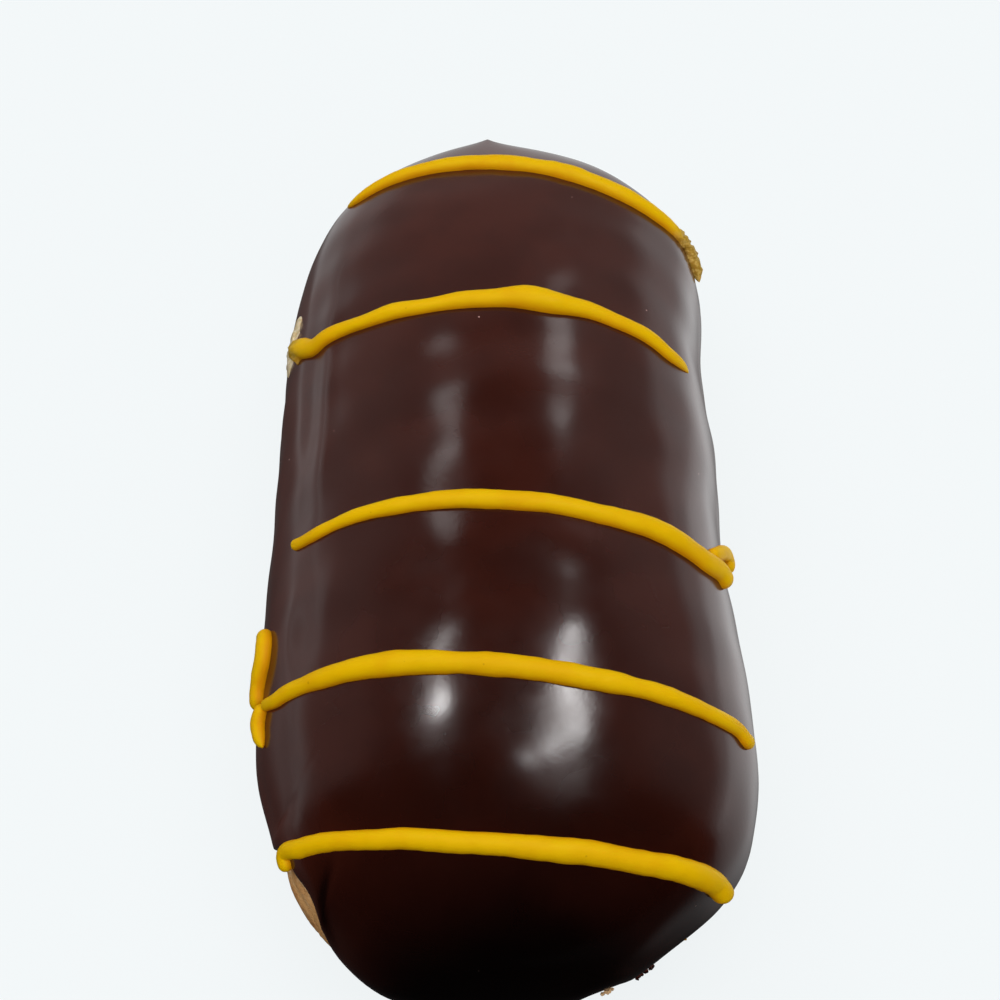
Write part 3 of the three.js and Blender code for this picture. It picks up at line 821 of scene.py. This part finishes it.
def bead_piece(bead, places, piping, chocolate, seed):
    """A piped bead with rounded or tapering ends, laid over the icing through its places."""
    route = eased_route(places, ROUTE_SAMPLES)
    direction = direction_at(route[:, 0], route[:, 1])
    lift = route[:, 2] + piping.lift / MM - CROSSING_LIFT + glaze_offset(direction, chocolate)
    centres = skin(direction, lift)
    normals = surface_normal(direction, form_point)
    passed = np.concatenate([[0], np.cumsum(np.linalg.norm(np.diff(centres, axis=0), axis=-1))])
    length = passed[-1]

    def at(distance, values):
        return np.stack([np.interp(distance, passed, values[:, axis]) for axis in range(3)], -1)

    start, stop = bead["tips"]
    stops = bead_stops(length, start, stop)
    centre = at(stops, centres)
    ahead = at(np.minimum(stops + TANGENT_STEP, length), centres)
    behind = at(np.maximum(stops - TANGENT_STEP, 0), centres)
    tangent = unit(ahead - behind)
    side = unit(np.cross(tangent, unit(at(stops, normals))))
    up = np.cross(side, tangent)
    share = stops / length
    along = np.stack([stops, np.zeros_like(stops), np.zeros_like(stops)], -1)
    taper = tip_fullness(stops, start, bead["points"][0])
    taper *= tip_fullness(length - stops, stop, bead["points"][1])
    uneven = 1 + WIDTH_UNEVENNESS * bead_waves("width", along, seed)
    half = 0.5 * eased_widths(bead["widths"], share) * taper * piping.width_scale * uneven
    high = piping.flatness * bead.get("flat", 1.0)
    stray = piping.wobble / MM * bead_waves("stray", along, seed)
    centre = centre + side * stray[:, None]
    crumbly = crumbled(bead, share)
    rings, raised = [], []
    for around in np.linspace(0, 2 * math.pi, BEAD_SIDES, endpoint=False):
        beside = along + [0, BEAD_GIRTH * math.cos(around), BEAD_GIRTH * math.sin(around)]
        rough = 1 + FINE_UNEVENNESS * bead_waves("fine", beside, seed)
        rough += CRUMB_ROUGHNESS * crumbly * bead_waves("crumbs", beside, seed)
        out = side * (half * rough * math.cos(around))[:, None]
        out += up * (high * half * rough * math.sin(around))[:, None]
        rings.append(centre + out)
        raised.append(math.sin(around))
    piece = closed_mesh(bead["name"], at(0.0, centres), np.stack(rings, 1), at(length, centres))
    spread = np.repeat(crumbly, BEAD_SIDES)
    store(piece, "crumbly", np.concatenate([crumbly[:1], spread, crumbly[-1:]]))
    # How high round the bead each point lies: the yellow material paints shade on the lower side by it.
    store(piece, "raised", np.concatenate([[0.0], np.tile(raised, len(stops)), [0.0]]))
    store(piece, "creamy", np.full(len(piece.data.vertices), bead.get("creamy", 0.0)))
    return piece


# ======================== crumbs
def crumb_piece(name, places):
    """Small rough lumps caught on the icing's foot, joined into one piece."""
    turn, height, count, reach_round, reach_up, size, seed = places
    draw = np.random.default_rng(seed)
    shape = bmesh.new()
    for _ in range(count):
        around = np.array([math.radians(turn) + draw.uniform(-1, 1) * reach_round / CRUMB_DISTANCE])
        level = height + draw.uniform(-1, 1) * reach_up
        tilt = tilt_at_height(around, level, *RIM_TILTS, 0.0)
        centre = Vector((skin(polar(tilt, around), CRUMB_OFFSET)[0] - BOX_MIDDLE) * MM)
        radius = size * draw.uniform(*CRUMB_SIZES) * 0.5 * MM
        lump = bmesh.ops.create_icosphere(shape, subdivisions=3, radius=radius)
        offset = Vector(draw.uniform(0, CRUMB_SPAN, 3))
        stretch = Vector(draw.uniform(*CRUMB_STRETCH, 3))
        knob_height, fineness = CRUMB_KNOBS
        for vertex in lump["verts"]:
            knob = 1 + knob_height * noise.noise(vertex.co / radius * fineness + offset)
            vertex.co = centre + vertex.co * stretch * knob
    mesh = bpy.data.meshes.new(name)
    shape.to_mesh(mesh)
    shape.free()
    mesh.shade_smooth()
    piece = add_object(name, mesh)
    for attribute in ("crumbly", "near_icing"):
        store(piece, attribute, np.full(len(mesh.vertices), CRUMB_TONE))
    return piece


# ======================== shader helpers
class Tree:
    """Adds nodes to a node tree and links them in one call."""

    def __init__(self, tree):
        self.tree = tree
        tree.nodes.clear()

    def add(self, kind, settings=None, **inputs):
        """A node of a kind, with its settings, and its inputs set or linked."""
        node = self.tree.nodes.new(kind)
        for name, value in (settings or {}).items():
            setattr(node, name, value)
        for name, value in inputs.items():
            self.feed(node, name.replace("_", " "), value)
        return node

    def feed(self, node, key, value):
        """Links or sets an input of a node, by its name or its index."""
        socket = node.inputs[key]
        if isinstance(value, bpy.types.NodeSocket):
            self.tree.links.new(value, socket)
        else:
            socket.default_value = value

    def math(self, operation, *values):
        """The result of an operation on one value or two."""
        node = self.add("ShaderNodeMath", {"operation": operation})
        for index, value in enumerate(values):
            self.feed(node, index, value)
        return node.outputs[0]

    def times(self, first, second):
        """The product of two values."""
        return self.math("MULTIPLY", first, second)

    def plus(self, first, second):
        """The sum of two values."""
        return self.math("ADD", first, second)

    def eased(self, value, low, high, to_low=0.0, to_high=1.0):
        """A value eased from one range to another."""
        node = self.add("ShaderNodeMapRange", {"interpolation_type": "SMOOTHSTEP"}, Value=value,
                        From_Min=low, From_Max=high, To_Min=to_low, To_Max=to_high)
        return node.outputs["Result"]

    def blended(self, share, first, second):
        """A colour between two others."""
        node = self.add("ShaderNodeMix", {"data_type": "RGBA"})
        for index, given in ((0, share), (6, opaque(first)), (7, opaque(second))):
            self.feed(node, index, given)
        return node.outputs[2]

    def noise(self, vector, scale, detail, roughness=0.5):
        """A cloudy pattern round 0.5."""
        return self.add("ShaderNodeTexNoise", Vector=vector, Scale=scale, Detail=detail,
                        Roughness=roughness).outputs[0]

    def stored(self, name):
        """What a mesh keeps for each of its points under a name."""
        return self.add("ShaderNodeAttribute", {"attribute_name": name}).outputs["Fac"]

    def seen(self):
        """1 for what the camera itself sees, and 0 for mirror images and light."""
        return self.add("ShaderNodeLightPath").outputs["Is Camera Ray"]

    def either(self, seen, shown, mirrored):
        """One value for what the camera itself sees, and another for mirror images and light."""
        unseen = self.math("SUBTRACT", 1.0, seen)
        return self.plus(self.times(seen, shown), self.times(unseen, mirrored))

    def put(self, name, **inputs):
        """What a shared group gives, placed in this tree with its own values."""
        group = bpy.data.node_groups.get(name) or GROUPS[name]()
        return self.add("ShaderNodeGroup", {"node_tree": group}, **inputs).outputs[0]

    def bump(self, shader, height, strength, distance):
        """Raises a shader's surface by a height."""
        node = self.add("ShaderNodeBump", Strength=strength, Distance=distance, Height=height)
        self.feed(shader, "Normal", node.outputs[0])


def opaque(value):
    """A colour of three numbers with its fourth, or a socket as it is."""
    return value if isinstance(value, bpy.types.NodeSocket) else (*value, 1.0)


def new_group(name, numbers, output):
    """An empty shader node group, its helper and its inputs: places, and numbers with their defaults."""
    group = bpy.data.node_groups.new(name, "ShaderNodeTree")
    group.interface.new_socket("Vector", in_out="INPUT", socket_type="NodeSocketVector")
    for socket, default in numbers.items():
        made = group.interface.new_socket(socket, in_out="INPUT", socket_type="NodeSocketFloat")
        made.default_value = default
    group.interface.new_socket(output, in_out="OUTPUT", socket_type="NodeSocketFloat")
    tree = Tree(group)
    return group, tree, tree.add("NodeGroupInput").outputs


def grain_group():
    """Height of a fine, uneven surface: soft waves with a finer grain over them."""
    numbers = {"Wave scale": 300.0, "Grain scale": 3000.0, "Grain share": 0.3}
    group, tree, given = new_group("Surface grain", numbers, "Height")
    wave = tree.noise(given["Vector"], given["Wave scale"], 2.0)
    grain = tree.noise(given["Vector"], given["Grain scale"], 3.0, 0.6)
    tree.add("NodeGroupOutput", Height=tree.plus(wave, tree.times(grain, given["Grain share"])))
    return group


def specks_group():
    """Mask of small scattered specks, some larger than others."""
    numbers = {"Scale": 400.0, "Size": 0.12, "Share": 0.3}
    group, tree, given = new_group("Scattered specks", numbers, "Mask")
    cells = tree.add("ShaderNodeTexVoronoi", {"feature": "F1"}, Vector=given["Vector"],
                     Scale=given["Scale"])
    spread = tree.add("ShaderNodeSeparateColor", Color=cells.outputs["Color"])
    size = tree.times(spread.outputs[1], given["Size"])
    inside = tree.math("LESS_THAN", cells.outputs["Distance"], size)
    chosen = tree.math("LESS_THAN", spread.outputs[0], given["Share"])
    tree.add("NodeGroupOutput", Mask=tree.times(inside, chosen))
    return group


GROUPS = {"Surface grain": grain_group, "Scattered specks": specks_group}


def new_material(name, **values):
    """A material with a Principled shader whose plain values are set, its helper and its places."""
    material = bpy.data.materials.new(name)
    material.use_nodes = True
    tree = Tree(material.node_tree)
    shader = tree.add("ShaderNodeBsdfPrincipled", **values)
    tree.add("ShaderNodeOutputMaterial", Surface=shader.outputs[0])
    places = tree.add("ShaderNodeTexCoord").outputs["Object"]
    return material, tree, shader, places


# ======================== materials
CHOCOLATE = "Dark chocolate icing"
CHOCOLATE_DUST = linear(150, 118, 112)
YELLOW_SPECK = linear(160, 102, 8)
YELLOW_CRUMBS = (linear(150, 116, 44), linear(190, 158, 84))
CREAM_CRUMBS = (linear(196, 176, 140), linear(222, 208, 180))


def chocolate_material(chocolate):
    """Set dark chocolate icing: near-black brown with faint clouds, pale dust specks and a soft gloss."""
    material, tree, shader, places = new_material(CHOCOLATE, IOR=1.5, Specular_IOR_Level=0.5)
    clouds = tree.eased(tree.noise(places, 120.0, 3.0), 0.35, 0.65)
    dust = tree.put("Scattered specks", Vector=places, Scale=330.0, Size=0.055, Share=0.16)
    colour = tree.blended(dust, tree.blended(clouds, chocolate.dark, chocolate.light), CHOCOLATE_DUST)
    tree.feed(shader, "Base Color", colour)
    least, most = chocolate.roughness - 0.02, chocolate.roughness + 0.02
    tree.feed(shader, "Roughness", tree.eased(tree.noise(places, 260.0, 2.0), 0.3, 0.7, least, most))
    grain = tree.put("Surface grain", Vector=places, Wave_scale=1400.0, Grain_scale=4200.0, Grain_share=0.5)
    tree.bump(shader, grain, strength=0.06, distance=0.0001)
    return material


def crust_material(crust):
    """Baked choux crust: tan to brown by its relief, pale in the splits, with pores and grain."""
    material, tree, shader, places = new_material("Baked choux crust", IOR=1.45, Specular_IOR_Level=0.35)
    patches = tree.noise(places, 90.0, 5.0, 0.6)
    raised = tree.plus(tree.times(tree.stored("relief"), 0.9), patches)
    fibres = tree.add("ShaderNodeMapping", Vector=places, Scale=(1.0, 0.35, 1.0)).outputs[0]
    streaks = tree.noise(fibres, 1100.0, 4.0, 0.65)
    pores = tree.put("Scattered specks", Vector=places, Scale=700.0, Size=0.3, Share=0.25)
    colour = crust.baked
    for share, added in (
        (tree.eased(raised, 0.35, 0.95), crust.browned),
        (tree.eased(streaks, 0.52, 0.75, 0.0, 0.5), crust.browned),
        (tree.eased(streaks, 0.48, 0.3, 0.0, 0.45), crust.pale),
        (tree.eased(tree.stored("opened"), 0.15, 0.8), crust.pale),
        (tree.eased(tree.stored("near_icing"), 0.2, 0.9), crust.pale),
        # The pores are darkened towards the browned colour where the bump dents them.
        (tree.times(pores, 0.5), crust.browned),
    ):
        colour = tree.blended(share, colour, added)
    tree.feed(shader, "Base Color", colour)
    tree.feed(shader, "Roughness", tree.eased(patches, 0.3, 0.7, 0.85, 0.62))
    grain = tree.put("Surface grain", Vector=places, Wave_scale=700.0, Grain_scale=2600.0, Grain_share=0.6)
    pitted = tree.math("SUBTRACT", grain, tree.times(pores, 0.5))
    tree.bump(shader, pitted, strength=0.7, distance=0.00025)
    return material


def yellow_material(piping):
    """Set yellow icing: golden on the crests, duller where it crumbles, with painted shade that turns each
    line's lower side more orange.
    """
    material, tree, shader, places = new_material(
        "Yellow piped icing", IOR=1.45, Specular_IOR_Level=0.06, Subsurface_Weight=0.12,
        Subsurface_Radius=(1.0, 0.45, 0.1), Subsurface_Scale=0.0008,
    )
    stretches = tree.noise(places, 170.0, 3.0)
    deeper = tree.times(tree.eased(stretches, 0.45, 0.68), 0.25)
    # Painted shade: the lower side of each bead, by how low round it a point lies, is tinted towards ochre
    # as though less light falls there.
    foot = tree.eased(tree.stored("raised"), 0.8, 0.0, 0.0, 0.85)
    specks = tree.put("Scattered specks", Vector=places, Scale=900.0, Size=0.2, Share=0.12)
    mottled = tree.eased(tree.noise(places, 1500.0, 3.0, 0.6), 0.4, 0.6)
    olive = tree.blended(mottled, *YELLOW_CRUMBS)
    cream = tree.blended(mottled, *CREAM_CRUMBS)
    dull = tree.blended(tree.stored("creamy"), olive, cream)
    colour = piping.golden
    for share, added in (
        # The deeper stretches are the icing's own tone; the foot share added to them is painted shade.
        (tree.plus(deeper, foot), piping.ochre_and_underside_shade),
        (tree.times(specks, 0.3), YELLOW_SPECK),
        (tree.times(tree.stored("crumbly"), 0.9), dull),
    ):
        colour = tree.blended(share, colour, added)
    tree.feed(shader, "Base Color", colour)
    tree.feed(shader, "Roughness", tree.eased(stretches, 0.3, 0.7, 0.4, 0.5))
    grain = tree.put("Surface grain", Vector=places, Wave_scale=900.0, Grain_scale=4200.0, Grain_share=0.35)
    tree.bump(shader, grain, strength=0.4, distance=0.00012)
    return material


# ======================== stage
# What the icing mirrors of the floor grows or fades over these ranges: two places across or along, in
# metres, and the brightness at either.
LEFT_ACROSS = (-0.12, -0.04, 0.95, 0.12)
LEFT_ALONG = (0.03, 0.085, 0.45, 1.0)
RIGHT_ACROSS = (0.026, 0.055, 0.0, 1.55)
NEAR_ALONG = (-0.09, 0.0, 0.01, 1.0)
FAR_ALONG = (0.05, 0.13, 1.0, 0.45)
BEHIND_ALONG = (0.065, 0.085, 0.0, 1.0)
BEHIND_ACROSS = (0.04, 0.1, 0.7, 0.5)
MIRRORED_FLOOR = (0.01, 0.01, 0.01)  # base colour of the floor, for all but the camera
WORLD_COLOUR = (0.93, 0.99, 1.0)
WORLD_SEEN = 0.965  # brightness of the surroundings, for the camera

LAMPS = (  # heading from the eclair, angular size across and along in degrees, and brightness
    ((-0.395, 0.16, 1.0), (8, 8), 24.0),
    ((0.35, 0.085, 1.0), (8, 9), 16.5),
    ((0.385, 0.24, 1.0), (8, 10), 18.0),
    ((0.25, 0.0, 1.0), (5, 5), 17.0),
    ((0.14, -0.07, 1.0), (4, 4), 14.0),
    ((-0.39, 0.76, 1.0), (9, 12), 2.5),
    ((0.53, 1.15, 1.0), (9, 12), 3.0),
)
LAMP_DISTANCE = 1.2
FAR_SPREAD = 40  # degrees across of the soft lights on the dark icing
NEAR_SPREAD = 80  # and of those on the rest
AIM = Vector((0.0, -0.03, 0.038))  # where the lights look
CAMERA_TARGET = (Vector((0.0, -10.44, 40.94)) - Vector(BOX_MIDDLE)) * MM
CAMERA_DISTANCE = 232.24 * MM


def floor_material(stage):
    """Plain pale floor, which glows a little so that shadows stay faint.

    What the icing mirrors of it is brighter beside the eclair and dark where the viewer stands.
    """
    material, tree, shader, places = new_material("Plain floor", Roughness=0.9, Specular_IOR_Level=0.0)
    across, along, _ = tree.add("ShaderNodeSeparateXYZ", Vector=places).outputs
    left = tree.times(tree.eased(across, *LEFT_ACROSS), tree.eased(along, *LEFT_ALONG))
    sides = tree.plus(left, tree.eased(across, *RIGHT_ACROSS))
    beside = tree.times(tree.times(tree.eased(along, *NEAR_ALONG), tree.eased(along, *FAR_ALONG)), sides)
    aside = tree.eased(tree.math("ABSOLUTE", across), *BEHIND_ACROSS)
    behind = tree.times(tree.eased(along, *BEHIND_ALONG), aside)
    mirrored = tree.math("MAXIMUM", beside, behind)
    seen = tree.seen()
    lit = [stage.floor_shade * value for value in stage.floor_colour]
    tree.feed(shader, "Base Color", tree.blended(seen, MIRRORED_FLOOR, lit))
    tree.feed(shader, "Emission Color", opaque(stage.floor_colour))
    tree.feed(shader, "Emission Strength", tree.either(seen, stage.floor_glow, mirrored))
    return material


def studio_world():
    """Soft surroundings: a dim ceiling, paler walls low down on the far side, dark on the viewer's side."""
    world = bpy.data.worlds.new("Soft studio")
    world.use_nodes = True
    tree = Tree(world.node_tree)
    heading = tree.add("ShaderNodeTexCoord").outputs["Generated"]
    x, y, z = tree.add("ShaderNodeSeparateXYZ", Vector=heading).outputs
    far = tree.eased(y, -0.08, 0.06)
    walls = tree.eased(z, 0.86, 0.6, 0.03, 0.22)
    beside = tree.eased(tree.math("ABSOLUTE", x), 0.4, 0.8)
    horizon = tree.times(tree.times(tree.eased(z, 0.22, 0.03), beside), 0.5)
    light = tree.plus(0.01, tree.times(far, tree.plus(walls, horizon)))
    strength = tree.either(tree.seen(), WORLD_SEEN, light)
    background = tree.add("ShaderNodeBackground", Color=opaque(WORLD_COLOUR), Strength=strength)
    tree.add("ShaderNodeOutputWorld", Surface=background.outputs[0])
    bpy.context.scene.world = world


def add_light(name, kind, heading, distance, **values):
    """A light that looks at the eclair from a heading, with its own Y axis towards the far end."""
    data = bpy.data.lights.new(name, kind)
    for key, value in values.items():
        setattr(data, key, value)
    light = add_object(name, data)
    out = Vector(heading).normalized()
    across = Vector((0.0, 1.0, 0.0)).cross(out).normalized()
    light.location = AIM + out * distance
    light.rotation_euler = Matrix((across, out.cross(across), out)).transposed().to_euler()
    return light


def add_lamps():
    """Small lamps overhead, whose mirror images are the long highlights on the icing."""
    for index, (heading, angles, brightness) in enumerate(LAMPS):
        wide, long = (2 * LAMP_DISTANCE * math.tan(math.radians(angle) / 2) for angle in angles)
        power = brightness * math.pi * wide * long * math.pi / 4
        lamp = add_light(f"lamp_{index}", "AREA", heading, LAMP_DISTANCE, shape="ELLIPSE", size=wide,
                         size_y=long, energy=power)
        lamp.visible_diffuse = False


def add_soft_lights(stage):
    """Broad soft lights that no surface mirrors: two far ones for the dark icing and two for the rest."""
    dark = bpy.data.collections.new("dark_icing")
    rest = bpy.data.collections.new("rest")
    for piece in bpy.context.scene.objects:
        if piece.type == "MESH" and piece.active_material:
            (dark if piece.active_material.name == CHOCOLATE else rest).objects.link(piece)
    for name, heading, strength, spread, lit in (
        ("far_left", (-0.74, 0.60, 0.35), stage.icing_strength, FAR_SPREAD, dark),
        ("far_right", (0.64, 0.66, 0.35), stage.icing_strength, FAR_SPREAD, dark),
        ("key", (-0.1, 0.25, 0.96), stage.key_strength, NEAR_SPREAD, rest),
        ("fill", (0.1, -0.7, 0.7), stage.fill_strength, NEAR_SPREAD, rest),
    ):
        light = add_light(name, "SUN", heading, 1.0, energy=strength, angle=math.radians(spread))
        light.visible_glossy = False
        light.data.use_shadow = lit == rest
        light.light_linking.receiver_collection = lit


def add_floor(stage):
    """The plain floor under the eclair."""
    reach = stage.floor_half
    corners = [(-reach, -reach, 0), (reach, -reach, 0), (reach, reach, 0), (-reach, reach, 0)]
    mesh = bpy.data.meshes.new("floor")
    mesh.from_pydata(corners, [], [(0, 1, 2, 3)])
    mesh.materials.append(floor_material(stage))
    add_object("floor", mesh)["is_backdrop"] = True


def add_camera(stage):
    """The camera, which looks down on the eclair from over its near end."""
    data = bpy.data.cameras.new("camera")
    data.lens = stage.lens
    data.sensor_width = 36.0
    data.clip_start = 0.01
    data.clip_end = 50.0
    camera = add_object("camera", data)
    back = Vector((0.0, -math.cos(stage.elevation), math.sin(stage.elevation)))
    camera.location = CAMERA_TARGET + back * CAMERA_DISTANCE
    camera.rotation_euler = (math.pi / 2 - stage.elevation, 0.0, 0.0)
    bpy.context.scene.camera = camera


# ======================== operators
class ECLAIR_OT_crust(Operator):
    """Build the baked choux crust"""

    bl_idname = "eclair.crust"
    bl_label = "Choux Crust"

    def execute(self, context):
        scene = context.scene
        material = crust_material(scene.eclair_crust)
        piece = crust_piece(scene.eclair_crust, scene.eclair_chocolate)
        place(piece, "choux_pastry", material)
        place(crumb_piece("crust_crumbs", CRUST_CRUMBS), "choux_pastry", material)
        return {"FINISHED"}


class ECLAIR_OT_icing(Operator):
    """Dip the eclair in chocolate icing"""

    bl_idname = "eclair.icing"
    bl_label = "Chocolate Icing"

    def execute(self, context):
        chocolate = context.scene.eclair_chocolate
        material = chocolate_material(chocolate)
        place(icing_shell(chocolate), "chocolate_icing", material)
        place(crumb_piece("icing_chips", ICING_CHIPS), "chocolate_icing", material)
        return {"FINISHED"}


class ECLAIR_OT_lines(Operator):
    """Pipe the yellow lines and the short pieces beside them"""

    bl_idname = "eclair.lines"
    bl_label = "Piped Lines"

    def execute(self, context):
        scene = context.scene
        material = yellow_material(scene.eclair_piping)
        beads = [(line, line_places(line)) for line in LINES]
        beads += [(bead, bead["places"]) for bead in SHORT_PIECES]
        for seed, (bead, places) in enumerate(beads, BEAD_SEED):
            piece = bead_piece(bead, places, scene.eclair_piping, scene.eclair_chocolate, seed)
            place(piece, "chocolate_icing", material)
        place(crumb_piece("yellow_crumb", YELLOW_CRUMB), "chocolate_icing", material)
        return {"FINISHED"}


class ECLAIR_OT_stage(Operator):
    """Add the floor, the soft light and the camera"""

    bl_idname = "eclair.stage"
    bl_label = "Stage"

    def execute(self, context):
        stage = context.scene.eclair_stage
        add_floor(stage)
        studio_world()
        add_soft_lights(stage)
        add_lamps()
        add_camera(stage)
        context.scene.view_settings.view_transform = "Standard"
        return {"FINISHED"}


class ECLAIR_PT_sidebar(Panel):
    """Lists the eclair's operators and settings"""

    bl_idname = "ECLAIR_PT_sidebar"
    bl_label = "Chocolate Eclair"
    bl_space_type = "VIEW_3D"
    bl_region_type = "UI"
    bl_category = "Eclair"

    def draw(self, context):
        column = self.layout.column()
        for operator in OPERATORS:
            column.operator(operator.bl_idname)
        for name, settings in SETTINGS.items():
            box = self.layout.box()
            for field in settings.__annotations__:
                box.prop(getattr(context.scene, name), field)


SETTINGS = {
    "eclair_crust": EclairCrustSettings,
    "eclair_chocolate": EclairChocolateSettings,
    "eclair_piping": EclairPipingSettings,
    "eclair_stage": EclairStageSettings,
}
OPERATORS = (ECLAIR_OT_crust, ECLAIR_OT_icing, ECLAIR_OT_lines, ECLAIR_OT_stage)


def register():
    for name, settings in SETTINGS.items():
        bpy.utils.register_class(settings)
        setattr(bpy.types.Scene, name, PointerProperty(type=settings))
    for made in (*OPERATORS, ECLAIR_PT_sidebar):
        bpy.utils.register_class(made)


def unregister():
    for made in reversed((*OPERATORS, ECLAIR_PT_sidebar)):
        bpy.utils.unregister_class(made)
    for name, settings in reversed(SETTINGS.items()):
        delattr(bpy.types.Scene, name)
        bpy.utils.unregister_class(settings)


def main():
    """Builds every piece and the stage, and gathers the solids' box beside the dressed model's."""
    register()
    bpy.ops.eclair.crust()
    bpy.ops.eclair.icing()
    bpy.ops.eclair.lines()
    bpy.ops.eclair.stage()
    boxes = {"cad": CAD_BOX, "visual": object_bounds()}
    boxes = {name: [list(corner) for corner in box] for name, box in boxes.items()}


if __name__ == "__main__":
    main()
